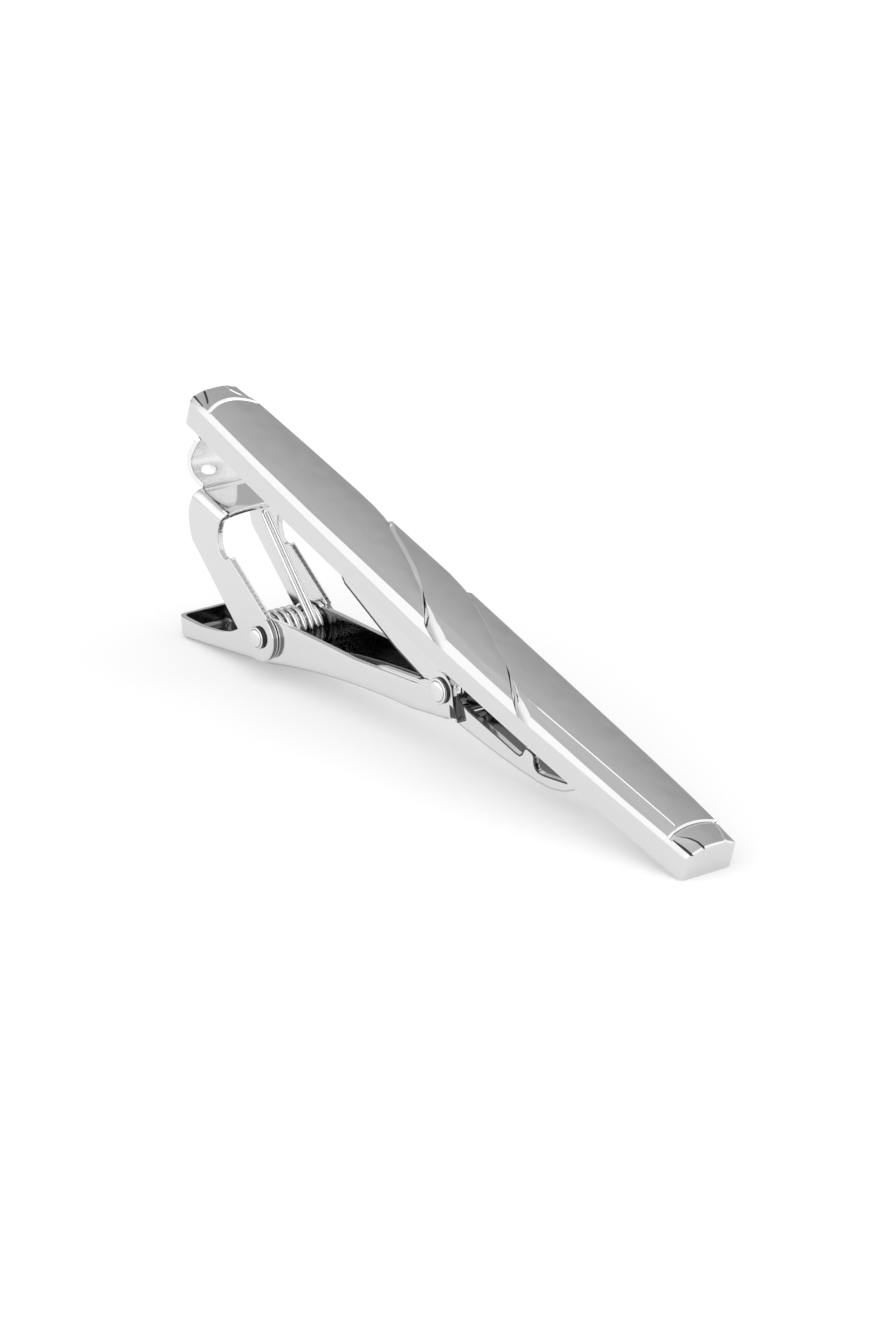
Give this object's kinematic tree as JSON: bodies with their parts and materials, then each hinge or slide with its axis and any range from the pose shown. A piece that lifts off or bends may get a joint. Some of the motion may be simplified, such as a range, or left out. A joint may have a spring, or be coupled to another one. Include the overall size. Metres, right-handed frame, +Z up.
{
  "type": "tie clip",
  "caption": "Spring tie clip: bowed metal bar over a hinged pinch lever with a nested clamping jaw and a sprung, toothed yoke.",
  "frame": {"origin": "centre of the bounding box, on the surface that the clip lies on", "axes": "+X along the clip from the lever's tip to the bar's low end, +Y across it to its back, +Z up; the bar falls 16.66 degrees towards +X"},
  "size_m": [0.0591, 0.0068, 0.0196],
  "materials": {
    "bar_metal": "polished sides and bevels, brushed top",
    "sheet_metal": "polished plating",
    "rivet_metal": "polished plating",
    "spring_wire": "drawn spring wire"
  },
  "bodies": {
    "bar": {"front_bar": "bar_metal", "hinge_bracket": "bar_metal"},
    "lever": {"pinch_lever": "sheet_metal", "clamp_jaw": "sheet_metal", "hinge_rivet": "rivet_metal", "torsion_spring": "spring_wire"},
    "yoke": {"toothed_yoke": "sheet_metal", "yoke_rivet": "rivet_metal"}
  },
  "joints": [
    {"name": "lever_pinch", "type": "hinge", "parent": "bar", "child": "lever", "pos_m": [0.00237, 0, 0.00565], "axis": [0, 1, 0], "range_deg": [0, 12], "stiffness_Nm_per_rad": 0.06, "springref_deg": -28.65},
    {"name": "yoke_fold", "type": "hinge", "parent": "lever", "child": "yoke", "pos_m": [-0.01851, 0, 0.00339], "axis": [0, -1, 0], "range_deg": [0, 30], "deforming": ["torsion_spring"]}
  ],
  "couplings": [
    {"joint": "yoke_fold", "follows": "lever_pinch", "ratio": 2.5}
  ]
}
